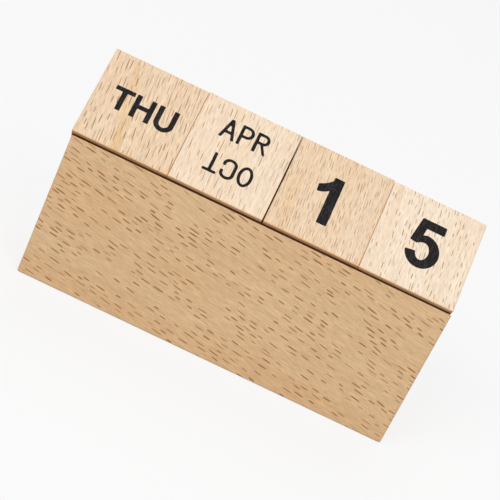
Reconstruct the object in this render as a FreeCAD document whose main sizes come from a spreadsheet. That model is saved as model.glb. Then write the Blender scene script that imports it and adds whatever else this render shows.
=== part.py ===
import FreeCAD, Part
import os
import Sketcher

# Perpetual desk calendar: four loose wooden blocks that lie on their edges, side by side,
# in the V-groove of one long wooden base. Millimetres, +Z up, the front faces -Y, and the
# origin is the middle of the base's underside.

PARTS_FOLDER = "parts"
SHEET = "Sizes"

# Driving dimensions: name, value and what it measures (lengths in millimetres)
DRIVING_SIZES = [
    ("block_side", 30.0, "side of a block before it is sanded to fit"),
    ("block_round", 0.25, "radius of the blocks' sanded edges"),
    ("weekday_trim", -0.05, "weekday block, larger or smaller than block_side"),
    ("month_trim", 0.1, "month block, larger or smaller than block_side"),
    ("tens_trim", 0.05, "first day block, larger or smaller than block_side"),
    ("units_trim", -0.1, "second day block, larger or smaller than block_side"),
    ("month_slant", 0.32, "month block's foot, narrower than its top by a right side sawn out of square"),
    ("seat_gap", 0.02, "clearance between a block and the groove's rear wall and valley"),
    ("tight_seam", 0.1, "gap beside the weekday block and beside the second day block"),
    ("middle_seam", 0.1, "gap between the month block and the first day block, at their top"),
    ("row_shift", -0.27, "middle seam of the row, from the middle of the base"),
    ("row_overhang", 0.08, "row of blocks, longer than the base"),
    ("edge_overhang", 0.72, "front and rear edges of a block, out past the base's faces"),
    ("recline_angle", 45.0, "degrees that the printed faces lean back from upright"),
    ("groove_ease", 1.1, "degrees that the groove opens past square, all on its front wall"),
    ("base_height", 47.0, "base, underside to the lands beside the groove"),
    ("base_round", 0.6, "radius of the base's sanded outer edges"),
    ("front_land", 0.05, "flat strip of the base in front of the groove, whose lip is a crisp edge"),
    ("lip_round", 0.1, "radius of the groove's sanded rear lip"),
]

# Sketches are drawn roughly, at this size, and their constraints then set them
ROUGH = 20.0

# Two places closer together than this are the same place
MATCH = 1e-4


def size(name):
    """The expression that reads one driving dimension."""
    return f"{SHEET}.{name}"


def side(name):
    """The expression for the sanded side of one block."""
    return f"({size('block_side')} + {size(name + '_trim')})"


def foot(name):
    """The expression for the width of one block's printed face at its foot."""
    return f"({side(name)} - {size(name + '_slant')})" if name in SLANTED else side(name)


BLOCK_NAMES = ("weekday", "month", "tens", "units")
SLANTED = ("month",)
ROW_SIDES = " + ".join(side(name) for name in BLOCK_NAMES)
ROW_LENGTH = f"({ROW_SIDES} + 2 * {size('tight_seam')} + {size('middle_seam')})"
BASE_LENGTH = f"({ROW_LENGTH} - {size('row_overhang')})"

RECLINE = f"({size('recline_angle')} * 1 deg)"
BLOCK_SPAN = f"({size('block_side')} * (sin({RECLINE}) + cos({RECLINE})))"
BASE_DEPTH = f"({BLOCK_SPAN} - 2 * {size('edge_overhang')})"

# A block's lower edge is in the valley, and its front and rear edges overhang the base alike
VALLEY_Y = f"({size('block_side')} * (cos({RECLINE}) - sin({RECLINE})) / 2)"
FRONT_LIP = f"({size('front_land')} - {BASE_DEPTH} / 2)"
FRONT_SLOPE = f"tan({RECLINE} - {size('groove_ease')} * 1 deg)"
GROOVE_DEPTH = f"(({VALLEY_Y} - {FRONT_LIP}) * {FRONT_SLOPE})"
VALLEY_Z = f"({size('base_height')} - {GROOVE_DEPTH})"
# The rear wall leans back as far as the printed faces, and a block lies flat on it
REAR_LIP = f"({VALLEY_Y} + {GROOVE_DEPTH} * tan({RECLINE}))"


def fill_sheet(doc):
    """Write each driving dimension once, under its name."""
    sheet = doc.addObject("Spreadsheet::Sheet", SHEET)
    for row, (name, value, note) in enumerate(DRIVING_SIZES, start=1):
        sheet.set(f"A{row}", name)
        sheet.set(f"B{row}", str(value))
        sheet.setAlias(f"B{row}", name)
        sheet.set(f"C{row}", note)
    doc.recompute()


def add_sketch(body, name, plane_role):
    """An empty sketch on one of the body's own origin planes."""
    sketch = body.newObject("Sketcher::SketchObject", name)
    plane = next(f for f in body.Origin.OriginFeatures if f.Role == plane_role)
    sketch.AttachmentSupport = (plane, [""])
    sketch.MapMode = "FlatFace"
    return sketch


def add_loop(sketch, corners):
    """Straight lines round the corners, joined end to end."""
    count = len(corners)
    for i in range(count):
        start = FreeCAD.Vector(*corners[i], 0)
        end = FreeCAD.Vector(*corners[(i + 1) % count], 0)
        sketch.addGeometry(Part.LineSegment(start, end), False)
    for i in range(count):
        sketch.addConstraint(Sketcher.Constraint("Coincident", i, 2, (i + 1) % count, 1))


def bind(sketch, constraint, expression):
    """Add a constraint that holds a size, and bind it to its expression."""
    index = sketch.addConstraint(constraint)
    sketch.setExpression(f"Constraints[{index}]", expression)


def add_centred_rectangle(sketch, width, height):
    """A rectangle about the sketch's origin, with its two sizes given as expressions."""
    add_loop(sketch, [(-ROUGH, -ROUGH), (ROUGH, -ROUGH), (ROUGH, ROUGH), (-ROUGH, ROUGH)])
    for line, direction in enumerate(("Horizontal", "Vertical", "Horizontal", "Vertical")):
        sketch.addConstraint(Sketcher.Constraint(direction, line))
    sketch.addConstraint(Sketcher.Constraint("Symmetric", 0, 1, 1, 2, -1, 1))
    bind(sketch, Sketcher.Constraint("DistanceX", 0, 1, 0, 2, ROUGH), width)
    bind(sketch, Sketcher.Constraint("DistanceY", 1, 1, 1, 2, ROUGH), height)


def add_printed_face(sketch, height, foot_width):
    """A block seen from the front: upright on the left, and as wide at its top as it is high."""
    add_loop(sketch, [(-ROUGH, -ROUGH), (ROUGH, -ROUGH), (ROUGH, ROUGH), (-ROUGH, ROUGH)])
    for line, direction in ((0, "Horizontal"), (2, "Horizontal"), (3, "Vertical")):
        sketch.addConstraint(Sketcher.Constraint(direction, line))
    bind(sketch, Sketcher.Constraint("DistanceX", -1, 1, 0, 1, -ROUGH), f"-{height} / 2")
    bind(sketch, Sketcher.Constraint("DistanceY", -1, 1, 0, 1, -ROUGH), f"-{height} / 2")
    bind(sketch, Sketcher.Constraint("DistanceY", 0, 1, 2, 2, ROUGH), height)
    bind(sketch, Sketcher.Constraint("DistanceX", 2, 2, 2, 1, ROUGH), height)
    bind(sketch, Sketcher.Constraint("DistanceX", 0, 1, 0, 2, ROUGH), foot_width)


def long_top_edges(shape):
    """The long edges along a shape's top, from front to rear, as pairs of place and name."""
    whole = shape.BoundBox
    found = []
    for index, edge in enumerate(shape.Edges, start=1):
        box = edge.BoundBox
        if abs(box.ZMin - whole.ZMax) < MATCH and box.XLength > whole.XLength / 2:
            found.append((box.YMin, f"Edge{index}"))
    return sorted(found)


def edges_but_front_top(shape):
    """Names of all edges but the one that the groove will turn into its crisp front lip."""
    front = long_top_edges(shape)[0][1]
    return [name for name in (f"Edge{i + 1}" for i in range(len(shape.Edges))) if name != front]


def rear_lip_edge(shape):
    """Name of the edge where the groove's rear wall meets the land behind it."""
    return min(pair for pair in long_top_edges(shape) if pair[0] > shape.BoundBox.Center.y)[1]


def make_base(doc):
    """One solid length of wood: sawn square, sanded along its edges, grooved and eased behind."""
    body = doc.addObject("PartDesign::Body", "base_block")
    body.Label = "base_block"

    outline = add_sketch(body, "base_outline", "XY_Plane")
    add_centred_rectangle(outline, BASE_LENGTH, BASE_DEPTH)
    blank = body.newObject("PartDesign::Pad", "base_blank")
    blank.Profile = outline
    blank.setExpression("Length", size("base_height"))
    doc.recompute()

    sanded = body.newObject("PartDesign::Fillet", "base_sanded")
    sanded.Base = (blank, edges_but_front_top(blank.Shape))
    sanded.setExpression("Radius", size("base_round"))
    doc.recompute()

    # The sketch's axes are the base's Y and Z: front wall, rear wall and the mouth between the lips
    section = add_sketch(body, "groove_section", "YZ_Plane")
    add_loop(section, [(-ROUGH, ROUGH), (0, 0), (ROUGH, ROUGH)])
    section.addConstraint(Sketcher.Constraint("Horizontal", 2))
    bind(section, Sketcher.Constraint("DistanceX", -1, 1, 0, 1, -ROUGH), FRONT_LIP)
    bind(section, Sketcher.Constraint("DistanceX", -1, 1, 1, 2, ROUGH), REAR_LIP)
    bind(section, Sketcher.Constraint("DistanceX", -1, 1, 0, 2, 0.0), VALLEY_Y)
    bind(section, Sketcher.Constraint("DistanceY", -1, 1, 0, 1, ROUGH), size("base_height"))
    bind(section, Sketcher.Constraint("DistanceY", -1, 1, 0, 2, 0.0), VALLEY_Z)
    doc.recompute()

    groove = body.newObject("PartDesign::Pocket", "base_groove")
    groove.Profile = section
    groove.Type = "ThroughAll"
    groove.Midplane = True
    doc.recompute()

    lip = body.newObject("PartDesign::Fillet", "base_rear_lip")
    lip.Base = (groove, [rear_lip_edge(groove.Shape)])
    lip.setExpression("Radius", size("lip_round"))
    doc.recompute()
    return body


def make_block(doc, name, centre_x):
    """A sanded cube about its own middle, then laid in the groove with its front face reclined."""
    body = doc.addObject("PartDesign::Body", f"{name}_block")
    body.Label = f"{name}_block"

    outline = add_sketch(body, f"{name}_outline", "XZ_Plane")
    add_printed_face(outline, side(name), foot(name))
    cube = body.newObject("PartDesign::Pad", f"{name}_cube")
    cube.Profile = outline
    cube.Midplane = True
    cube.setExpression("Length", side(name))
    doc.recompute()

    sanded = body.newObject("PartDesign::Fillet", f"{name}_sanded")
    sanded.Base = (cube, [])
    sanded.UseAllEdges = True
    sanded.setExpression("Radius", size("block_round"))

    # Half a side and the seat's clearance away from the rear wall and from the valley
    reach = f"({side(name)} / 2 + {size('seat_gap')})"
    body.Placement = FreeCAD.Placement(FreeCAD.Vector(), FreeCAD.Rotation(FreeCAD.Vector(-1, 0, 0), 45))
    body.setExpression("Placement.Rotation.Angle", RECLINE)
    body.setExpression("Placement.Base.x", centre_x)
    body.setExpression("Placement.Base.y", f"{VALLEY_Y} + {reach} * (sin({RECLINE}) - cos({RECLINE}))")
    body.setExpression("Placement.Base.z", f"{VALLEY_Z} + {reach} * (sin({RECLINE}) + cos({RECLINE}))")
    doc.recompute()
    return body


def make_row(doc):
    """The four blocks, placed outwards from the middle seam of the row."""
    middle = size("row_shift")
    half_gap = f"{size('middle_seam')} / 2"
    month_x = f"{middle} - {half_gap} - {side('month')} / 2"
    weekday_x = f"{month_x} - {side('month')} / 2 - {size('tight_seam')} - {side('weekday')} / 2"
    tens_x = f"{middle} + {half_gap} + {side('tens')} / 2"
    units_x = f"{tens_x} + {side('tens')} / 2 + {size('tight_seam')} + {side('units')} / 2"
    places = (weekday_x, month_x, tens_x, units_x)
    return [make_block(doc, name, centre_x) for name, centre_x in zip(BLOCK_NAMES, places)]


def check(doc, bodies):
    """Stop if any object failed to build, or a piece isn't one sound solid."""
    for thing in doc.Objects:
        bad = {"Invalid", "Error"} & set(thing.State)
        if bad:
            raise RuntimeError(f"{thing.Name} is {bad}")
    for body in bodies:
        shape = body.Shape
        if shape.isNull() or not shape.isValid() or len(shape.Solids) != 1:
            raise RuntimeError(f"{body.Label} is not one sound solid")


def main():
    doc = FreeCAD.newDocument("desk_calendar")
    fill_sheet(doc)
    bodies = [make_base(doc)] + make_row(doc)
    doc.recompute()
    check(doc, bodies)
    os.makedirs(PARTS_FOLDER, exist_ok=True)
    for body in bodies:
        body.Shape.exportStep(os.path.join(PARTS_FOLDER, f"{body.Label}.step"))
        box = body.Shape.BoundBox
        corners = (box.XMin, box.YMin, box.ZMin, box.XMax, box.YMax, box.ZMax)
        print(body.Label, "volume", round(body.Shape.Volume, 1), "box", [round(c, 3) for c in corners])


main()
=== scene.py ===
import math
from collections import namedtuple

import bmesh
import bpy
from mathutils import Matrix, Vector
from mathutils.geometry import delaunay_2d_cdt


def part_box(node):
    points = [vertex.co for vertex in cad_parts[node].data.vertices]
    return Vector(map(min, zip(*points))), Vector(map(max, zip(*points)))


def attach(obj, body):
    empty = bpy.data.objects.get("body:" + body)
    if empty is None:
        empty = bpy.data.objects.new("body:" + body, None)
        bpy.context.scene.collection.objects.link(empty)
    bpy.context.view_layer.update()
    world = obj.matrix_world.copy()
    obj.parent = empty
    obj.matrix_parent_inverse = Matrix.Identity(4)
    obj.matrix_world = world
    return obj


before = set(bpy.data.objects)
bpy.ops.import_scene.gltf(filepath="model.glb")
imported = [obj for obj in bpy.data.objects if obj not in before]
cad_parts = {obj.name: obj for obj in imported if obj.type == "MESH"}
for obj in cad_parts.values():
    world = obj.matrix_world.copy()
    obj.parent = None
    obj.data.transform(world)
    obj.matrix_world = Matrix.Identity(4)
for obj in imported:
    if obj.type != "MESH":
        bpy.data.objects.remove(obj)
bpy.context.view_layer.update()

# Perpetual desk calendar: four beech cubes printed with weekdays, months and digits lie on edge
# in the groove of a long beech base. The CAD pieces keep their shape and get their wood here,
# and the print is a thin film of ink on all six faces of each cube.

MM = 0.001
WHITE = (1.0, 1.0, 1.0, 1.0)
UP = Vector((0, 0, 1))

BLOCKS = ("weekday", "month", "tens", "units")
# The printed faces lean back from upright by this many degrees
RECLINE = 45.0

# Camera, in millimetres, degrees and pixels of the 500 pixel frame
IMAGE_SIDE = 500
SENSOR = 36.0
FOCAL_PIXELS = 1326.3
CAMERA_AZIMUTH = 0.693
CAMERA_ELEVATION = 22.4
CAMERA_ROLL = 25.741
CAMERA_DISTANCE = 381.86
# The point that the camera looks at, on the plane of the base's front
TARGET_X = -0.032
TARGET_HEIGHT = 38.527
# The nearest and the farthest that the camera sees, in metres
CAMERA_CLIP = (0.01, 20.0)


class Wire:
    """One output of a node. Sums and products of wires and numbers add their Math nodes."""

    def __init__(self, web, socket):
        self.web = web
        self.socket = socket

    def math(self, operation, *others):
        values = {index: value for index, value in enumerate((self, *others))}
        return self.web.add("ShaderNodeMath", {"operation": operation}, values)

    def __add__(self, other):
        return self.math("ADD", other)

    def __mul__(self, other):
        return self.math("MULTIPLY", other)

    def __sub__(self, other):
        return self.math("SUBTRACT", other)

    def __truediv__(self, other):
        return self.math("DIVIDE", other)

    def __pow__(self, other):
        return self.math("POWER", other)

    def __rsub__(self, other):
        return self.web.add("ShaderNodeMath", {"operation": "SUBTRACT"}, {0: other, 1: self})

    __radd__ = __add__
    __rmul__ = __mul__

    def __abs__(self):
        return self.math("ABSOLUTE")

    def floor(self):
        return self.math("FLOOR")

    def least(self, other):
        return self.math("MINIMUM", other)

    def most(self, other):
        return self.math("MAXIMUM", other)

    def below(self, other):
        return self.math("LESS_THAN", other)

    def with_clamp(self):
        self.socket.node.use_clamp = True
        return self


class Web:
    """A node tree that is filled by one method."""

    def __init__(self, tree):
        self.tree = tree

    def add(self, kind, settings=None, sockets=None, out=0):
        """Add a node: its settings first, then values or wires for its sockets. Returns output `out`."""
        node = self.tree.nodes.new(kind)
        for name, value in (settings or {}).items():
            setattr(node, name, value)
        for name, value in (sockets or {}).items():
            if isinstance(value, Wire):
                self.tree.links.new(value.socket, node.inputs[name])
            else:
                node.inputs[name].default_value = value
        return Wire(self, node.outputs[out]) if node.outputs else node

    def other(self, wire, out):
        """Another output of the node that a wire comes from."""
        return Wire(self, wire.socket.node.outputs[out])

    def smooth(self, value, start, stop):
        """0 at start, 1 at stop, eased at both ends."""
        values = {"Value": value, "From Min": start, "From Max": stop}
        return self.add("ShaderNodeMapRange", {"interpolation_type": "SMOOTHSTEP"}, values)

    def vector(self, x, y, z):
        return self.add("ShaderNodeCombineXYZ", None, {0: x, 1: y, 2: z})

    def parts(self, vector):
        """The three components of a vector."""
        x = self.add("ShaderNodeSeparateXYZ", None, {0: vector})
        return x, self.other(x, 1), self.other(x, 2)

    def noise(self, vector, scale=1.0, detail=2.0, roughness=0.5, seed=0.0, out=0):
        values = {"Vector": vector, "W": seed, "Scale": scale, "Detail": detail, "Roughness": roughness}
        return self.add("ShaderNodeTexNoise", {"noise_dimensions": "4D"}, values, out)

    def dice(self, x, y, seed):
        """Three random numbers from 0 to 1 that stay the same all over one cell."""
        colour = self.add("ShaderNodeTexWhiteNoise", {"noise_dimensions": "3D"},
                          {"Vector": self.vector(x, y, seed)}, "Color")
        red = self.add("ShaderNodeSeparateColor", None, {0: colour})
        return red, self.other(red, 1), self.other(red, 2)

    def mix(self, factor, first, second):
        """Colour mix."""
        return self.add("ShaderNodeMix", {"data_type": "RGBA"}, {0: factor, 6: first, 7: second}, 2)

    def dim(self, colour, factor):
        """The colour made darker or lighter by a factor."""
        return self.add("ShaderNodeVectorMath", {"operation": "SCALE"}, {0: colour, "Scale": factor})


def new_material(name):
    """An empty material and the web of its nodes."""
    material = bpy.data.materials.new(name)
    material.use_nodes = True
    material.node_tree.nodes.clear()
    return material, Web(material.node_tree)


def rgba(colour):
    return (*colour, 1.0)


def placed_coordinates(web, centre, axes):
    """Object coordinates in millimetres, from a centre and along three given axes."""
    turn = Matrix(axes).transposed().to_euler()
    where = web.add("ShaderNodeTexCoord", None, None, "Object")
    values = {"Vector": where, "Location": centre, "Rotation": turn, "Scale": (MM, MM, MM)}
    return web.add("ShaderNodeMapping", {"vector_type": "TEXTURE"}, values)


# One kind of ray fleck: the cells that hold one each at most, how long and wide a fleck is, how many
# cells have one, how far they gather in trails and how dark they are. Lengths in millimetres.
Flecks = namedtuple("Flecks", "cell length width fill gather strength")

# A golden vein along the growth lines: where it crosses the middle, how it slopes, how far it fades
# out sideways, from where to where it runs and how strong it is. Lengths in millimetres.
Vein = namedtuple("Vein", "place slope width start stop strength")

# A length of beech. Where it is: its centre, half sizes and axes (right, back and up). Its inside: the
# way its growth lines lie, the way its fibres run, the way its rays run through it, how far off its
# pith is and how wide a ring is. Its looks: its colours, among them the one of its edges, which is
# both wear and painted shade, its flecks, how strong its fibres, its streaks and its veins are, and how
# much painted shade darkens its groove. The side of a block that gets painted shade along the seam with
# the next block is 1 for the right one, -1 for the left one and 0 for none.
Beech = namedtuple("Beech", "name centre half_size axes lay grain through pith ring pale deep warm rubbed "
                            "fleck coarse fine fibre streak veins sawn rubs seed")

# Flecks gather in loose trails that slope this much against the fibres. A trail changes this fast
# along the fibres and across them, in turns to a millimetre.
TRAIL_SLOPE = 0.11
TRAIL_ALONG = 0.045
TRAIL_ACROSS = 0.55

# Rays run this far into the wood, in millimetres, before others take their place. From one column of
# cells to the next, that depth moves on by this share of it.
RAY_DEPTH = 7.0
RAY_STAGGER = 0.37

# Each column of cells is moved along the fibres by up to this many cells
COLUMN_SHIFT = 9.0

# Keeps the random numbers of one layer of rays apart from those of the next
LAYER_STEP = 17.3

# A ray may lean by this much in all against the fibres, and wander by this many millimetres. The
# larger the last number, the nearer to its outline it has its full tone.
RAY_LEAN = 0.12
RAY_WANDER = 1.6
RAY_CRISPNESS = 2.4


def ray_flecks(web, along, across, depth, flecks, seed):
    """Wood rays: thin plates that run into the wood, one to a cell at most.

    Seen on a face that looks along the rays they are short dashes with pointed ends. Returns how
    much of a ray is at each place.
    """
    long_cell, wide_cell = flecks.cell
    shortest, longest = flecks.length
    thinnest, thickest = flecks.width
    column = (across / wide_cell).floor()
    layer = (depth / RAY_DEPTH + column * RAY_STAGGER).floor() * LAYER_STEP + seed
    shift = web.dice(column, layer, 1.5)[0] * COLUMN_SHIFT
    row_place = along / long_cell + shift
    row = row_place.floor()
    place_along, place_across, wide = web.dice(row, column, layer)
    long, present, lean = web.dice(row, column, layer + 3.7)

    half_length = (shortest + long * (longest - shortest)) * 0.5
    half_width = (thinnest + wide * (thickest - thinnest)) * 0.5
    off_along = (row_place - row - 0.5) * long_cell - (place_along - 0.5) * (long_cell - longest)
    off_across = (across / wide_cell - column - 0.5) * wide_cell
    off_across = off_across - (place_across - 0.5) * (wide_cell - thickest * 1.6)
    off_across = off_across + off_along * (lean - 0.5) * RAY_LEAN
    spindle = 1.0 - (abs(off_along) / half_length) ** 4 - abs(off_across) / half_width

    cell_along = (row - shift) * long_cell
    cell_across = column * wide_cell
    across_trail = (cell_across + cell_along * TRAIL_SLOPE) * TRAIL_ACROSS
    trail = web.noise(web.vector(cell_along * TRAIL_ALONG, seed, across_trail))
    gathered = 1.0 + (web.smooth(trail, 0.32, 0.68) * 2.0 - 1.0) * flecks.gather
    here = present.below(gathered * flecks.fill)
    return (spindle * RAY_CRISPNESS).with_clamp() * here * (0.6 + wide * 0.4)


def vein_tone(web, lie, apart, wander, veins):
    """How much of a golden vein is at each place."""
    total = 0.0
    for vein in veins:
        off = abs(apart - lie * vein.slope - vein.place + (wander - 0.5) * 3.5)
        run = web.smooth(lie, vein.start, vein.start + 6.0) * web.smooth(lie, vein.stop, vein.stop - 6.0)
        total = total + web.smooth(off, vein.width, 0.0) * run * vein.strength
    return total


def edge_nearness(web, inward, inside):
    """1 along the piece's outer edges, fading soon on its front face and further in on the others."""
    a, b, c = inside
    second_least = a.least(b).most(a.most(b).least(c))
    front = web.smooth(inward, 0.3, 0.03)
    return web.smooth(second_least, 2.6 - front * 2.05, 0.1)


def drawn_out_noise(web, place, scales, detail, roughness, seed):
    """Noise with its own scale, in turns to a millimetre, along each of three directions."""
    x, y, z = (part * scale for part, scale in zip(place, scales))
    return web.noise(web.vector(x, y, z), 1.0, detail, roughness, seed)


def growth_lines(web, wood, lie, depth, apart):
    """Waves from 0 to 1 about a pith that lies outside the piece."""
    from_pith = (((depth + wood.pith) ** 2.0) + apart * apart) ** 0.5
    bend = drawn_out_noise(web, (lie, depth, apart), (0.011, 0.04, 0.04), 2.0, 0.5, wood.seed + 2.0)
    return ((from_pith + (bend - 0.5) * 7.0) * (2 * math.pi / wood.ring)).math("SINE") * 0.5 + 0.5


def groove_painted_shade(web, wood, inside, colour):
    """Painted shade: darkens the groove's walls, the only faces that lie well inside the outer ones."""
    a, b, c = inside
    return web.dim(colour, 1.0 - web.smooth(a.least(b).least(c), 0.2, 0.45) * wood.sawn)


# Painted shade: colours of the dark line where a block's lower face meets the base's lip, and of the dark
# line along the seam between two blocks
LIP_SHADE_COLOUR = (0.2, 0.035, 0.005)
SEAM_SHADE_COLOUR = (0.03, 0.015, 0.01)


def painted_joint_shade(web, wood, square, inward, colour):
    """Painted shade: darkens a block's lower face by the base's lip, and its front edge along the seam with
    the next block.
    """
    on_lower = web.smooth(square[2] + wood.half_size[2], 0.12, 0.03)
    lip_shade = on_lower * web.smooth(inward, 1.25, 1.65) * web.smooth(inward, 4.5, 3.0)
    colour = web.mix(lip_shade * 0.9, colour, rgba(LIP_SHADE_COLOUR))
    beside_next = web.smooth(wood.half_size[0] - square[0] * wood.rubs, 0.26, 0.1)
    seam_shade = beside_next * web.smooth(inward, 2.0, 1.0) * web.smooth(square[2], -16.0, 2.0)
    return web.mix(seam_shade, colour, rgba(SEAM_SHADE_COLOUR))


def nearest_axis(wood, direction):
    """The number of the piece's axis that a direction is closest to."""
    return max(range(3), key=lambda i: abs(wood.axes[i].dot(direction)))


def beech(wood):
    """Sanded beech: growth lines, fibres, ray flecks, end grain, edges toned by wear and painted shade, and
    painted shade in the groove and the joints.
    """
    material, web = new_material(wood.name)
    across = wood.grain.cross(wood.through)
    along, through, side = web.parts(placed_coordinates(web, wood.centre, (wood.grain, wood.through, across)))
    beside = wood.through.cross(wood.lay)
    apart, depth, lie = web.parts(placed_coordinates(web, wood.centre, (beside, wood.through, wood.lay)))
    square = web.parts(placed_coordinates(web, wood.centre, wood.axes))
    inside = [half - abs(place) for place, half in zip(square, wood.half_size)]
    inward = square[1] + wood.half_size[1]

    # Rays wander a little as they run through the wood. On the faces that cut along them they show as
    # broad patches, which are hardly darker, and on the sawn ends as faint lines.
    wander = drawn_out_noise(web, (along, through, side), (0.02, 0.05, 0.03), 1.0, 0.5, wood.seed)
    ray_place = side + (wander - 0.5) * RAY_WANDER
    end = web.smooth(inside[nearest_axis(wood, wood.lay)], 0.1, 0.02)
    shown = web.smooth(inside[nearest_axis(wood, beside)], 0.03, 0.3) * 0.9 + 0.1
    shown = shown * (1.0 - end * 0.55)
    coarse = ray_flecks(web, along, ray_place, through, wood.coarse, wood.seed) * shown
    fine = ray_flecks(web, along, ray_place, through, wood.fine, wood.seed + 11.3) * shown

    ring = growth_lines(web, wood, lie, depth, apart)
    fibre = drawn_out_noise(web, (along, through, side), (0.3, 2.4, 2.4), 3.0, 0.65, wood.seed + 5.0)
    thread = drawn_out_noise(web, (along, through, side), (0.09, 1.1, 1.1), 2.0, 0.6, wood.seed + 6.0)
    streak = drawn_out_noise(web, (lie, depth, apart), (0.02, 0.3, 0.5), 2.0, 0.5, wood.seed + 7.0)
    cloud = drawn_out_noise(web, (lie, depth, apart), (0.04, 0.06, 0.06), 2.0, 0.5, wood.seed + 13.0)

    tone = ring * 0.35 + web.smooth(streak, 0.3, 0.7) * 0.65
    colour = web.mix(tone, rgba(wood.pale), rgba(wood.deep))
    blush = web.smooth(cloud * 0.6 + streak * 0.4, 0.45, 0.66)
    blush = blush * wood.streak + vein_tone(web, lie, apart, streak * 0.5 + thread * 0.5, wood.veins)
    colour = web.mix(blush.with_clamp(), colour, rgba(wood.warm))
    colour = web.dim(colour, 1.0 + (fibre - 0.5) * wood.fibre + (thread - 0.5) * wood.fibre * 0.35)
    colour = web.mix(fine * wood.fine.strength, colour, rgba(wood.fleck))
    colour = web.mix(coarse * wood.coarse.strength, colour, rgba(wood.fleck))

    # Sawn ends drink more oil and look a little darker. The edges are toned a little as by wear, and much
    # more near the bottom, where the tone is painted shade: the warm, shaded band under a block.
    colour = web.mix(end * 0.45, colour, rgba(wood.warm))
    low = web.smooth(square[2] + wood.half_size[2], 4.0, 0.5)
    edge_wear_and_shade = edge_nearness(web, inward, inside) * (0.05 + cloud * 0.25 + low * 0.55)
    colour = web.mix(edge_wear_and_shade.with_clamp(), colour, rgba(wood.rubbed))
    # Painted shade in the base's groove, and in the joints between the blocks
    if wood.sawn:
        colour = groove_painted_shade(web, wood, inside, colour)
    else:
        colour = painted_joint_shade(web, wood, square, inward, colour)

    rough = 0.5 + fibre * 0.16 - coarse * 0.08 - edge_wear_and_shade * 0.08
    height = fibre * 0.5 + thread * 0.2 - coarse * 0.35 - fine * 0.2
    return finished(material, web, colour, rough, height, 0.3, 0.05, 0.35)


def finished(material, web, colour, rough, height, bump, reach, specular):
    """Closes a material with its surface: the bump's strength and reach in millimetres, and the gloss."""
    normal = web.add("ShaderNodeBump", None, {"Strength": bump, "Distance": reach * MM, "Height": height})
    finish = {"Base Color": colour, "Roughness": rough, "Normal": normal, "IOR": 1.45,
              "Specular IOR Level": specular}
    surface = web.add("ShaderNodeBsdfPrincipled", None, finish)
    web.add("ShaderNodeOutputMaterial", None, {"Surface": surface})
    return material


def turned(first, second, degrees):
    """The first direction, turned towards the second."""
    angle = math.radians(degrees)
    return (first * math.cos(angle) + second * math.sin(angle)).normalized()


def block_axes():
    """Right along the row, into the block from its printed face, and up that face."""
    lean = Matrix.Rotation(math.radians(-RECLINE), 3, "X")
    return [lean @ Vector(axis) for axis in ((1, 0, 0), (0, 1, 0), (0, 0, 1))]


def block_centre_and_side(name):
    low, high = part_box(f"{name}_block")
    return (low + high) / 2, high.x - low.x


def base_wood():
    low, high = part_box("base_block")
    size = (high - low) / MM
    right, back = Vector((1, 0, 0)), Vector((0, 1, 0))
    return Beech(
        name="beech_base", centre=(low + high) / 2, half_size=tuple(size / 2), axes=(right, back, UP),
        lay=right, grain=turned(right, -UP, 11.0), through=back, pith=64.0, ring=2.6,
        pale=(0.89, 0.605, 0.342), deep=(0.85, 0.565, 0.31), warm=(0.83, 0.505, 0.265),
        rubbed=(0.9, 0.6, 0.35), fleck=(0.36, 0.12, 0.025),
        coarse=Flecks((4.6, 1.3), (1.8, 4.1), (0.34, 0.5), 0.46, 0.85, 1.0),
        fine=Flecks((3.0, 0.8), (0.7, 1.8), (0.2, 0.3), 0.15, 0.5, 0.3), fibre=0.8, streak=0.25,
        veins=(Vein(21.0, 0.0, 9.0, -70.0, 70.0, 0.35), Vein(4.0, 0.2, 14.0, -70.0, -35.0, 0.3)),
        sawn=0.6, rubs=0.0, seed=3.0)


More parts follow.
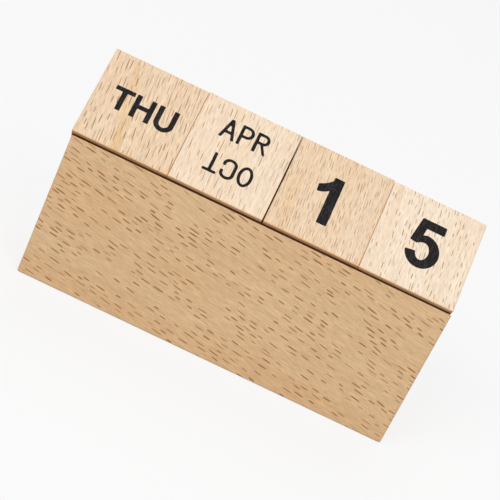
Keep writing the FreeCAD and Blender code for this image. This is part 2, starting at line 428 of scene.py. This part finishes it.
# Looks of the four blocks, from left to right. The lean is of their fibres, in degrees.
BLOCK_LOOKS = {
    "weekday": dict(lean=-5.0, pith=85.0, ring=5.0, pale=(0.885, 0.68, 0.485), deep=(0.845, 0.63, 0.43),
                    warm=(0.81, 0.55, 0.3), rubbed=(0.86, 0.43, 0.15), fleck=(0.34, 0.17, 0.065),
                    coarse=Flecks((6.2, 1.2), (2.4, 5.8), (0.22, 0.36), 0.68, 0.15, 1.0),
                    fine=Flecks((3.4, 0.7), (1.2, 3.0), (0.14, 0.22), 0.5, 0.3, 0.55), fibre=0.8,
                    streak=0.2,
                    veins=(Vein(-4.6, -0.2, 2.4, -20.0, 16.0, 0.75),
                           Vein(-2.4, -0.05, 1.5, -20.0, -2.0, 0.2)), seed=21.0),
    "month": dict(lean=-3.0, pith=-90.0, ring=6.0, pale=(0.93, 0.755, 0.575), deep=(0.9, 0.71, 0.52),
                  warm=(0.88, 0.64, 0.41), rubbed=(0.93, 0.5, 0.2), fleck=(0.43, 0.25, 0.115),
                  coarse=Flecks((5.6, 1.4), (2.2, 5.2), (0.2, 0.33), 0.66, 0.15, 1.0),
                  fine=Flecks((3.4, 0.8), (1.2, 3.0), (0.14, 0.22), 0.45, 0.3, 0.45), fibre=0.75,
                  streak=0.3,
                  veins=(Vein(1.0, -0.08, 2.0, -14.0, 12.0, 0.4), Vein(-9.0, -0.05, 1.6, -20.0, 4.0, 0.3)),
                  seed=37.0),
    "tens": dict(lean=-5.0, pith=70.0, ring=4.4, pale=(0.885, 0.685, 0.49), deep=(0.84, 0.63, 0.43),
                 warm=(0.82, 0.57, 0.33), rubbed=(0.87, 0.42, 0.15), fleck=(0.47, 0.27, 0.125),
                 coarse=Flecks((4.4, 0.75), (1.8, 4.0), (0.18, 0.29), 0.66, 0.2, 1.0),
                 fine=Flecks((3.0, 0.5), (1.2, 2.7), (0.13, 0.2), 0.5, 0.3, 0.5), fibre=0.75,
                 streak=0.35,
                 veins=(Vein(-11.0, -0.04, 4.0, -20.0, 6.0, 0.5), Vein(3.5, -0.03, 1.8, -18.0, 20.0, 0.25)),
                 seed=53.0),
    "units": dict(lean=-5.0, pith=-75.0, ring=5.6, pale=(0.955, 0.805, 0.64), deep=(0.92, 0.75, 0.57),
                  warm=(0.89, 0.66, 0.45), rubbed=(0.88, 0.46, 0.17), fleck=(0.42, 0.23, 0.1),
                  coarse=Flecks((3.4, 1.3), (1.3, 3.0), (0.24, 0.38), 0.5, 0.35, 0.95),
                  fine=Flecks((2.6, 0.7), (0.9, 2.2), (0.14, 0.22), 0.45, 0.3, 0.45), fibre=0.75,
                  streak=0.3,
                  veins=(Vein(-11.5, -0.05, 2.5, -6.0, 20.0, 0.45),), seed=71.0),
}


# The sides that get painted shade along the seam between two blocks, see Beech
SHADED_SEAM_SIDES = {"month": 1.0, "tens": -1.0}


def block_wood(name):
    centre, side = block_centre_and_side(name)
    right, back, up = block_axes()
    look = dict(BLOCK_LOOKS[name])
    lean = look.pop("lean")
    half = side / MM / 2
    return Beech(name=f"beech_{name}", centre=centre, half_size=(half, half, half), axes=(right, back, up),
                 lay=up, grain=turned(up, right, lean), through=back, sawn=0.0,
                 rubs=SHADED_SEAM_SIDES.get(name, 0.0), **look)


INK_DENSE = (0.0075, 0.006, 0.0065)
INK_WORN = (0.052, 0.047, 0.05)


def ink():
    """Matt black print: dense, with specks where the wood's fibres show through."""
    material, web = new_material("black_ink")
    x, y, z = web.parts(placed_coordinates(web, (0.0, 0.0, 0.0), block_axes()))
    speck = web.noise(web.vector(x * 2.6, y * 2.6, z * 1.6), 1.0, 3.0, 0.65, 4.0)
    fibre = web.noise(web.vector(x * 2.2, y * 2.2, z * 0.3), 1.0, 2.0, 0.5, 8.0)
    worn = web.smooth(speck, 0.48, 0.66) * 0.6 + web.smooth(fibre, 0.46, 0.7) * 0.4
    colour = web.mix(worn, rgba(INK_DENSE), rgba(INK_WORN))
    return finished(material, web, colour, 0.62 + speck * 0.2, fibre * 0.6 + speck * 0.4, 0.35, 0.03, 0.15)


# A set of letters, in millimetres: height of the capitals, thickness of upright and level strokes,
# width of the letters against the plain set, gap between letters, how much of the gap a letter with
# open sides keeps, and how far corners are softened
Style = namedtuple("Style", "cap stem bar wide gap tuck soft")
WEEKDAY_STYLE = Style(cap=7.53, stem=1.58, bar=1.4, wide=1.25, gap=1.0, tuck=0.1, soft=0.08)
MONTH_STYLE = Style(cap=6.62, stem=0.98, bar=0.9, wide=1.0, gap=0.73, tuck=0.9, soft=0.2)
DIGIT_STYLE = Style(cap=15.6, stem=3.2, bar=2.85, wide=1.0, gap=0.0, tuck=1.0, soft=0.3)
OPEN_SIDES = "ALTVY"

# Width of each capital as a share of its height, in the plain set. An I is as wide as its stroke.
LETTER_SHARES = {
    "A": 0.74, "B": 0.66, "C": 0.675, "D": 0.67, "E": 0.57, "F": 0.55, "G": 0.69, "H": 0.66, "J": 0.5,
    "L": 0.54, "M": 0.79, "N": 0.67, "O": 0.685, "P": 0.64, "R": 0.64, "S": 0.62, "T": 0.645, "U": 0.66,
    "V": 0.7, "W": 0.98, "Y": 0.69,
}

# Degrees between two points on a round stroke
ARC_STEP = 6.0


def bar(x0, y0, x1, y1):
    """A level or upright stroke, by its corners."""
    return [(x0, y0), (x1, y0), (x1, y1), (x0, y1)]


def slant(low_x, low_y, high_x, high_y, width):
    """A slanting stroke with level ends, by the middles of its ends."""
    half = width / 2
    return [(low_x - half, low_y), (low_x + half, low_y), (high_x + half, high_y), (high_x - half, high_y)]


def bow(x, y, rx, ry, start, stop, stem, level):
    """Part of an oval stroke about a centre, from one angle to another, in pieces of at most a quarter."""
    pieces = []
    quarters = math.ceil((stop - start) / 90)
    for i in range(quarters):
        a = start + (stop - start) * i / quarters
        b = start + (stop - start) * (i + 1) / quarters
        steps = math.ceil((b - a) / ARC_STEP)
        angles = [math.radians(a + (b - a) * k / steps) for k in range(steps + 1)]
        outer = [(x + rx * math.cos(t), y + ry * math.sin(t)) for t in angles]
        inner = [(x + (rx - stem) * math.cos(t), y + (ry - level) * math.sin(t)) for t in angles]
        pieces.append(outer + inner[::-1])
    return pieces


def curve(start, control, stop, steps=8):
    """Points of a gentle curve between two points."""
    a, b, c = Vector(start), Vector(control), Vector(stop)
    shares = [k / steps for k in range(steps + 1)]
    return [tuple(a * (1 - t) ** 2 + b * 2 * t * (1 - t) + c * t ** 2) for t in shares]


def lobe(s, low, high, width):
    """The round side of a D, P, R or B, with its two level strokes."""
    ry = (high - low) / 2
    rx = min(ry, width - 1.25 * s.stem)
    x = width - rx
    levels = [bar(s.stem / 2, low, x, low + s.bar), bar(s.stem / 2, high - s.bar, x, high)]
    return levels + bow(x, low + ry, rx, ry, -90, 90, s.stem, s.bar)


def letter(name, s):
    """The strokes of a capital and its width."""
    h, t, b = s.cap, s.stem, s.bar
    w = t if name == "I" else LETTER_SHARES[name] * s.wide * h
    left = bar(0, 0, t, h)
    right = bar(w - t, 0, w, h)
    mid = w / 2
    if name == "A":
        low = 0.265 * h
        inset = t / 2 + (mid - t / 2) * low / h
        legs = [slant(t / 2, 0, mid, h, t), slant(w - t / 2, 0, mid, h, t)]
        return legs + [bar(inset, low, w - inset, low + b)], w
    if name == "B":
        waist = (h - b) / 2 + 0.02 * h
        return [left] + lobe(s, 0, waist + b, w) + lobe(s, waist, h, 0.94 * w), w
    if name == "C":
        arm = 0.61 * h
        ends = [bar(w - t, arm, w, 0.73 * h), bar(w - t, 0.27 * h, w, h - arm)]
        back = bar(0, 0.27 * h, t, 0.73 * h)
        upper = bow(mid, 0.73 * h, mid, 0.27 * h, 0, 180, t, b)
        return ends + [back] + upper + bow(mid, 0.27 * h, mid, 0.27 * h, 180, 360, t, b), w
    if name == "D":
        return [left] + lobe(s, 0, h, w), w
    if name == "E":
        middle = bar(0, (h - b) / 2, 0.93 * w, (h + b) / 2)
        return [left, bar(0, 0, w, b), middle, bar(0, h - b, w, h)], w
    if name == "F":
        return [left, bar(0, 0.43 * h, 0.9 * w, 0.43 * h + b), bar(0, h - b, w, h)], w
    if name == "G":
        spur = [bar(mid, 0.38 * h, w, 0.38 * h + b), bar(w - t, 0.2 * h, w, 0.38 * h + b)]
        return bow(mid, h / 2, mid, h / 2, 25, 330, t, b) + spur, w
    if name == "H":
        return [left, right, bar(0, 0.518 * h - b / 2, w, 0.518 * h + b / 2)], w
    if name == "I":
        return [left], w
    if name == "J":
        turn = 0.55 * w
        return [bar(w - t, turn, w, h)] + bow(mid, turn, mid, turn, 195, 360, t, b), w
    if name == "L":
        return [left, bar(0, 0, w, b)], w
    if name == "M":
        return [left, right, slant(mid, 0, t / 2, h, t), slant(mid, 0, w - t / 2, h, t)], w
    if name == "N":
        return [left, right, slant(w - t * 0.6, 0, t * 0.6, h, t * 1.2)], w
    if name == "O":
        return bow(mid, h / 2, mid, h / 2, 0, 360, t, b), w
    if name == "P":
        return [left] + lobe(s, 0.39 * h, h, w), w
    if name == "R":
        leg = slant(w - 0.3 * t, 0, 0.5 * w, 0.5 * h, t)
        return [left, leg] + lobe(s, 0.445 * h, h, w), w
    if name == "S":
        low, high = (h + b) * 0.26, (h + b) * 0.24
        upper = bow(mid, h - high, mid * 0.97, high, 20, 270, t, b)
        return upper + bow(mid, low, mid, low, 200, 450, t, b), w
    if name == "T":
        return [bar(0, h - b, w, h), bar(mid - t / 2, 0, mid + t / 2, h)], w
    if name == "U":
        turn = 0.41 * w
        sides = [bar(0, turn, t, h), bar(w - t, turn, w, h)]
        return sides + bow(mid, turn, mid, turn + 0.045 * h, 180, 360, t, b), w
    if name == "V":
        return [slant(mid, 0, t / 2, h, t), slant(mid, 0, w - t / 2, h, t)], w
    if name == "W":
        q = 0.25 * w + t / 4
        left_half = [slant(q, 0, t / 2, h, t), slant(q, 0, mid, h, t)]
        return left_half + [slant(w - q, 0, mid, h, t), slant(w - q, 0, w - t / 2, h, t)], w
    fork = 0.4 * h
    arms = [slant(mid, fork, t / 2, h, t), slant(mid, fork, w - t / 2, h, t)]
    return arms + [bar(mid - t / 2, 0, mid + t / 2, fork + 0.1)], w


def digit(name, s):
    """The strokes of a digit and its width in millimetres, in the bold set."""
    h, t, b = s.cap, s.stem, s.bar
    if name == "1":
        upper = curve((4.45, h), (3.2, h - 2.6), (0.0, h - 3.9))
        flag = upper + curve((0.12, 9.25), (2.2, 9.45), (4.2, 11.2))
        return [flag, bar(3.7, 0, 6.88, h)], 6.9
    if name == "5":
        top = bar(1.95, h - 2.83, 9.6, h)
        inside = curve((2.67, h - 8.3), (3.75, h - 7.35), (5.1, h - 7.35))
        outside = curve((5.1, h - 4.75), (4.4, h - 4.8), (3.7, h - 5.3))
        stem = [(0.42, h - 7.95)] + inside + outside + [(4.05, h - 2.83), (4.4, h), (1.85, h)]
        return [top, stem] + bow(5.1, h - 10.1, 5.19, 5.35, -168, 90, 3.22, 2.6), 10.3
    w = 10.4
    mid = w / 2
    if name == "0":
        return bow(mid, h / 2, mid, h / 2 + 0.1, 0, 360, t, b), w
    if name == "2":
        high = 4.85
        neck = [(0.1, 2.2), (4.4, b - 0.2), (9.79, h - high - 2.28), (6.97, h - high - 0.94)]
        return [bar(0.1, 0, w - 0.2, b), neck] + bow(mid, h - high, mid, high, -28, 168, t, b), w
    if name == "3":
        high, low = 4.5, 4.75
        waist = bar(3.4, 2 * low - b, mid + 1.1, 2 * low)
        upper = bow(mid, h - high, mid * 0.95, high, -80, 165, t, b)
        return [waist] + upper + bow(mid, low, mid, low, -165, 80, t, b), w
    if name == "4":
        stay = [(0, 3.2), (3.0, 3.2), (3.0, 5.9), (8.4, h - 2.0), (8.4, h), (6.1, h), (0, 5.9)]
        return [bar(6.4, 0, 6.4 + t, h), bar(0, 3.2, 11.3, 3.2 + b), stay], 11.3
    if name == "6":
        low = 5.2
        loop = bow(mid, low, mid, low, 0, 360, t, b * 0.95)
        return loop + bow(mid, h / 2, mid, h / 2 + 0.1, 42, 200, t, b), w
    if name == "7":
        return [bar(0, h - b, 10.0, h), slant(3.8, 0, 8.2, h - 1.0, 3.5)], 10.0
    high, low = 4.4, (h + b) / 2 - 4.4
    upper = bow(mid, h - high, mid * 0.93, high, 0, 360, t, b)
    return upper + bow(mid, low, mid, low, 0, 360, t, b), w


def joined_outlines(strokes):
    """The outlines of all that the strokes cover together, holes among them.

    Each stroke runs anticlockwise.
    """
    points, faces = [], []
    for stroke in strokes:
        faces.append(list(range(len(points), len(points) + len(stroke))))
        points += [Vector(p) for p in stroke]
    places, _, triangles, _, _, owners = delaunay_2d_cdt(points, [], faces, 1, 1e-5)
    sides = {}
    for triangle, owner in zip(triangles, owners):
        if owner:
            for a, b in zip(triangle, triangle[1:] + triangle[:1]):
                sides[a, b] = True
    follow = {a: b for a, b in sides if (b, a) not in sides}
    outlines = []
    while follow:
        here = next(iter(follow))
        loop = []
        while here in follow:
            loop.append(places[here])
            here = follow.pop(here)
        outlines.append(without_straight_points(loop))
    return outlines


def without_straight_points(loop):
    """The loop without the points that lie on a straight stretch of it."""
    kept = []
    for before, here, after in zip(loop[-1:] + loop[:-1], loop, loop[1:] + loop[:1]):
        a, b = here - before, after - here
        if abs(a.x * b.y - a.y * b.x) > 0.01 * a.length * b.length:
            kept.append(here)
    return kept


def word_outlines(word, style):
    """Outlines of a word or digit in millimetres, centred on its own middle."""
    draw = digit if word.isdigit() else letter
    outlines = []
    x = 0.0
    for i, name in enumerate(word):
        strokes, width = draw(name, style)
        if i:
            for neighbour in (word[i - 1], name):
                x += style.gap / 2 * (style.tuck if neighbour in OPEN_SIDES else 1.0)
        outlines += [[p + Vector((x, 0)) for p in loop] for loop in joined_outlines(strokes)]
        x += width
    middle = Vector((x / 2, style.cap / 2))
    return [[p - middle for p in loop] for loop in outlines]


# One printed mark: what it says, where its middle is on the face and how many degrees it is turned
Mark = namedtuple("Mark", "word x y turn", defaults=(0.0, 0.0, 0.0))


def pair(upper, lower, spread, x=0.0, y=0.0):
    """Two words on one face: one upright, and one below it that is read after a half turn."""
    return [Mark(upper, x, y + spread), Mark(lower, x, y - spread, 180.0)]


# The faces of a block: the way each looks and the way up of its print, in the block's own axes
FACES = {
    "front": ((0, -1, 0), (0, 0, 1)),
    "upper": ((0, 0, 1), (0, 1, 0)),
    "lower": ((0, 0, -1), (0, -1, 0)),
    "rear": ((0, 1, 0), (0, 0, -1)),
    "left": ((-1, 0, 0), (0, 0, 1)),
    "right": ((1, 0, 0), (0, 0, 1)),
}
MONTH_SPREAD = 5.92
WEEKEND_SPREAD = 5.9

# The style and the marks of each block. The front faces show the photograph's day, and the small
# shifts and turns are those of a print that isn't quite true.
LEGENDS = {
    "weekday": (WEEKDAY_STYLE, {
        "front": [Mark("THU", 0.38, 0.6, 0.3)], "upper": [Mark("FRI", -0.2, 0.1, -0.4)],
        "lower": [Mark("WED", 0.1, 0.2, 0.2)], "rear": pair("SAT", "SUN", WEEKEND_SPREAD),
        "left": [Mark("MON", 0.1, -0.1, -0.3)], "right": [Mark("TUE", -0.1, 0.2, 0.4)]}),
    "month": (MONTH_STYLE, {
        "front": pair("APR", "OCT", MONTH_SPREAD, -0.05, 0.82),
        "upper": pair("MAY", "NOV", MONTH_SPREAD, 0.1, 0.3),
        "lower": pair("MAR", "SEP", MONTH_SPREAD, -0.1, 0.2),
        "rear": pair("JUN", "DEC", MONTH_SPREAD, 0.2, 0.1),
        "left": pair("JAN", "JUL", MONTH_SPREAD, 0.0, 0.3),
        "right": pair("FEB", "AUG", MONTH_SPREAD, 0.1, 0.2)}),
    "tens": (DIGIT_STYLE, {
        "front": [Mark("1", -1.6, -0.37)], "upper": [Mark("2", 0.1, 0.2, 0.5)],
        "lower": [Mark("0", 0.0, -0.1)], "rear": [Mark("6", 0.2, 0.0, -0.4)],
        "left": [Mark("7", 0.1, 0.1, -0.3)], "right": [Mark("8", -0.1, 0.2, 0.3)]}),
    "units": (DIGIT_STYLE, {
        "front": [Mark("5", 0.15, 0.34)], "upper": [Mark("4", -0.4, 0.1, -0.4)],
        "lower": [Mark("3", 0.1, 0.0, 0.3)], "rear": [Mark("0", 0.0, 0.2)],
        "left": [Mark("1", -1.5, -0.2, 0.4)], "right": [Mark("2", 0.1, -0.1, -0.2)]}),
}

# The film of ink, in millimetres: proud of the wood by less than the blocks' clearance in the groove
INK_RISE = 0.015
INK_SINK = 0.01

# Its outline: distance between points, reach and scale of its raggedness, points to a soft corner, and
# the distance within which points are joined
INK_SPACING = 0.2
INK_RAGGED_REACH = 0.07
INK_RAGGED_SCALE = 1.6
INK_CORNER_POINTS = 3
INK_WELD = 0.001


def ink_film_tree():
    """Geometry nodes that turn flat outlines into a thin film of ink with slightly ragged edges."""
    tree = bpy.data.node_groups.new("ink_film", "GeometryNodeTree")
    panel = tree.interface
    panel.new_socket("Geometry", in_out="OUTPUT", socket_type="NodeSocketGeometry")
    wanted = [("Geometry", "Geometry"), ("Corner softness", "Float"), ("Point spacing", "Float"),
              ("Ragged reach", "Float"), ("Ragged scale", "Float"), ("Seed", "Float"), ("Rise", "Float"),
              ("Sink", "Float"), ("Face middle", "Vector"), ("Face turn", "Rotation"), ("Ink", "Material")]
    for name, kind in wanted:
        panel.new_socket(name, in_out="INPUT", socket_type=f"NodeSocket{kind}")
    web = Web(tree)
    given = web.add("NodeGroupInput")
    value = {name: web.other(given, name) for name, _ in wanted}

    line = web.add("GeometryNodeMeshToCurve", None, {"Mesh": value["Geometry"]})
    line = web.add("GeometryNodeFilletCurve", {"mode": "POLY"},
                   {"Curve": line, "Count": INK_CORNER_POINTS, "Radius": value["Corner softness"],
                    "Limit Radius": True})
    line = web.add("GeometryNodeResampleCurve", {"mode": "LENGTH"},
                   {"Curve": line, "Length": value["Point spacing"]})
    where = web.add("GeometryNodeInputPosition")
    ripple = web.noise(where, value["Ragged scale"], 2.0, 0.6, value["Seed"], "Color")
    push = web.add("ShaderNodeVectorMath", {"operation": "SUBTRACT"}, {0: ripple, 1: (0.5, 0.5, 0.5)})
    flat = web.vector(value["Ragged reach"], value["Ragged reach"], 0.0)
    push = web.add("ShaderNodeVectorMath", {"operation": "MULTIPLY"}, {0: push, 1: flat})
    line = web.add("GeometryNodeSetPosition", None, {"Geometry": line, "Offset": push})
    sheet = web.add("GeometryNodeFillCurve", {"mode": "TRIANGLES"}, {"Curve": line})
    down = web.vector(0.0, 0.0, 0.0 - value["Sink"])
    sheet = web.add("GeometryNodeSetPosition", None, {"Geometry": sheet, "Offset": down})
    top = web.add("GeometryNodeExtrudeMesh", {"mode": "FACES"},
                  {"Mesh": sheet, "Offset Scale": value["Rise"] + value["Sink"], "Individual": False})
    bottom = web.add("GeometryNodeFlipFaces", None, {"Mesh": sheet})
    join = web.tree.nodes.new("GeometryNodeJoinGeometry")
    for part in (top, bottom):
        web.tree.links.new(part.socket, join.inputs[0])
    film = web.add("GeometryNodeMergeByDistance", None,
                   {"Geometry": Wire(web, join.outputs[0]), "Distance": INK_WELD})
    film = web.add("GeometryNodeTransform", None,
                   {"Geometry": film, "Translation": value["Face middle"],
                    "Rotation": value["Face turn"], "Scale": (MM, MM, MM)})
    film = web.add("GeometryNodeRealizeInstances", None, {"Geometry": film})
    film = web.add("GeometryNodeSetMaterial", None, {"Geometry": film, "Material": value["Ink"]})
    web.add("NodeGroupOutput", None, {"Geometry": film})
    return tree


def outline_mesh(outlines):
    """A mesh of closed loops of edges, flat on the XY plane."""
    points, edges = [], []
    for loop in outlines:
        first = len(points)
        points += [(p.x, p.y, 0.0) for p in loop]
        edges += [(first + i, first + (i + 1) % len(loop)) for i in range(len(loop))]
    mesh = bpy.data.meshes.new("outlines")
    mesh.from_pydata(points, edges, [])
    return mesh


def printed_mesh(outlines, tree, inputs):
    """The film that the tree makes of the outlines, as a plain mesh."""
    draft = bpy.data.objects.new("print_draft", outline_mesh(outlines))
    bpy.context.scene.collection.objects.link(draft)
    film = draft.modifiers.new("film", "NODES")
    film.node_group = tree
    sockets = {item.name: item.identifier for item in tree.interface.items_tree if item.in_out == "INPUT"}
    for name, value in inputs.items():
        film[sockets[name]] = value
    result = draft.evaluated_get(bpy.context.evaluated_depsgraph_get())
    mesh = bpy.data.meshes.new_from_object(result)
    bpy.data.objects.remove(draft)
    return mesh


# The cosine of how far a face's normal may be off the direction in which it is looked for
NEARLY_ALONG = 0.99


def flat_face(name, direction):
    """Middle and normal of the flat face of a block that looks nearly in a direction."""
    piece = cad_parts[f"{name}_block"]
    turn = piece.matrix_world.to_3x3()
    looking = [p for p in piece.data.polygons
               if (turn @ p.normal).normalized().dot(direction) > NEARLY_ALONG]
    flat = max(looking, key=lambda p: p.area)
    normal = (turn @ flat.normal).normalized()
    centre = block_centre_and_side(name)[0]
    corner = piece.matrix_world @ piece.data.vertices[flat.vertices[0]].co
    return centre + normal * (corner - centre).dot(normal), normal


def mark_outlines(mark, style):
    """The outlines of one mark, at its place on the face."""
    spin = Matrix.Rotation(math.radians(mark.turn), 2)
    middle = Vector((mark.x, mark.y))
    return [[spin @ p + middle for p in loop] for loop in word_outlines(mark.word, style)]


def block_print(name, tree, material):
    """The print on all six faces of one block, as one piece that rides on it."""
    style, faces = LEGENDS[name]
    axes = Matrix(block_axes()).transposed()
    whole = bmesh.new()
    for order, (face, marks) in enumerate(faces.items()):
        looks, up = (axes @ Vector(v) for v in FACES[face])
        face_middle, normal = flat_face(name, looks)
        up = (up - normal * up.dot(normal)).normalized()
        turn = Matrix((up.cross(normal), up, normal)).transposed()
        outlines = [loop for mark in marks for loop in mark_outlines(mark, style)]
        inputs = {"Corner softness": style.soft, "Point spacing": INK_SPACING,
                  "Ragged reach": INK_RAGGED_REACH, "Ragged scale": INK_RAGGED_SCALE,
                  "Seed": order + len(name) * 10.0, "Rise": INK_RISE, "Sink": INK_SINK,
                  "Face middle": tuple(face_middle), "Face turn": turn.to_euler(), "Ink": material}
        mesh = printed_mesh(outlines, tree, inputs)
        whole.from_mesh(mesh)
        bpy.data.meshes.remove(mesh)
    mesh = bpy.data.meshes.new(f"{name}_print")
    whole.to_mesh(mesh)
    whole.free()
    mesh.materials.append(material)
    piece = bpy.data.objects.new(f"{name}_print", mesh)
    bpy.context.scene.collection.objects.link(piece)
    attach(piece, name)
    return piece


def dress(node, material):
    """Give a CAD piece its wood."""
    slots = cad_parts[node].material_slots
    for slot in slots:
        slot.material = material


# How pale the floor looks, how pale it is for the light that it throws back up, and how much of its
# look is plain white that no shadow dims
FLOOR_SHADE = 0.86
FLOOR_BOUNCE = 0.26
FLOOR_GLOW = 0.78

# How far the floor reaches each way and how far below the calendar it is, in metres
FLOOR_REACH = 4.0
FLOOR_DROP = 0.02 * MM


def floor():
    """A plain pale floor that looks nearly white, keeps the calendar's shadow and lights it little."""
    r = FLOOR_REACH
    mesh = bpy.data.meshes.new("floor")
    mesh.from_pydata([(-r, -r, 0), (r, -r, 0), (r, r, 0), (-r, r, 0)], [], [(0, 1, 2, 3)])
    material, web = new_material("floor_paint")
    seen = seen_directly(web)
    shade = FLOOR_BOUNCE + seen * (FLOOR_SHADE - FLOOR_BOUNCE)
    paint = web.add("ShaderNodeBsdfDiffuse", None, {"Color": web.vector(shade, shade, shade)})
    glow = web.add("ShaderNodeEmission", None, {"Color": WHITE, "Strength": 1.0})
    surface = web.add("ShaderNodeMixShader", None, {0: seen * FLOOR_GLOW, 1: paint, 2: glow})
    web.add("ShaderNodeOutputMaterial", None, {"Surface": surface})
    mesh.materials.append(material)
    piece = bpy.data.objects.new("floor", mesh)
    piece.location.z = -FLOOR_DROP
    bpy.context.scene.collection.objects.link(piece)


def seen_directly(web):
    """1 for what the camera sees, itself or in a reflection."""
    path = web.add("ShaderNodeLightPath", None, None, "Is Camera Ray")
    glossy = web.other(path, "Is Glossy Ray")
    through = web.other(path, "Is Transmission Ray")
    return path.most(glossy).most(through)


# Studio light: the world's level, and each lamp's place, size in metres and power
WORLD_LEVEL = 0.4
LAMPS = {
    "key_lamp": ((-0.65, -1.1, 1.03), 0.9, 11.2),
    "fill_lamp": ((0.7, -1.05, 0.95), 0.9, 6.2),
    "rear_lamp": ((0.1, 0.9, 1.2), 0.9, 4.4),
}


def lights():
    world = bpy.data.worlds.new("studio")
    world.use_nodes = True
    world.node_tree.nodes.clear()
    web = Web(world.node_tree)
    level = WORLD_LEVEL + seen_directly(web) * (1.0 - WORLD_LEVEL)
    sky = web.add("ShaderNodeBackground", None, {"Color": WHITE, "Strength": level})
    web.add("ShaderNodeOutputWorld", None, {"Surface": sky})
    bpy.context.scene.world = world
    for name, (place, size, power) in LAMPS.items():
        data = bpy.data.lights.new(name, "AREA")
        data.shape = "SQUARE"
        data.size = size
        data.energy = power
        lamp = bpy.data.objects.new(name, data)
        lamp.location = place
        lamp.rotation_euler = (-Vector(place)).to_track_quat("-Z", "Y").to_euler()
        bpy.context.scene.collection.objects.link(lamp)


def camera():
    """The photograph's view: a little from above, with the frame tilted."""
    azimuth, elevation, roll = (math.radians(a) for a in (CAMERA_AZIMUTH, CAMERA_ELEVATION, CAMERA_ROLL))
    ahead = Vector((math.sin(azimuth) * math.cos(elevation), math.cos(azimuth) * math.cos(elevation),
                    -math.sin(elevation)))
    level = ahead.cross(UP).normalized()
    head = level.cross(ahead)
    right = level * math.cos(roll) + head * math.sin(roll)
    up = head * math.cos(roll) - level * math.sin(roll)
    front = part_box("base_block")[0].y
    target = Vector((TARGET_X * MM, front, TARGET_HEIGHT * MM))
    data = bpy.data.cameras.new("camera")
    data.sensor_width = SENSOR
    data.lens = FOCAL_PIXELS * SENSOR / IMAGE_SIDE
    data.clip_start, data.clip_end = CAMERA_CLIP
    view = bpy.data.objects.new("camera", data)
    view.matrix_world = Matrix.Translation(target - ahead * CAMERA_DISTANCE * MM) @ Matrix(
        (right, up, -ahead)).transposed().to_4x4()
    bpy.context.scene.collection.objects.link(view)
    bpy.context.scene.camera = view


camera()
lights()
floor()
dress("base_block", beech(base_wood()))
film_tree = ink_film_tree()
black = ink()
for block in BLOCKS:
    dress(f"{block}_block", beech(block_wood(block)))
    block_print(block, film_tree, black)

bpy.context.scene.view_settings.view_transform = "Standard"
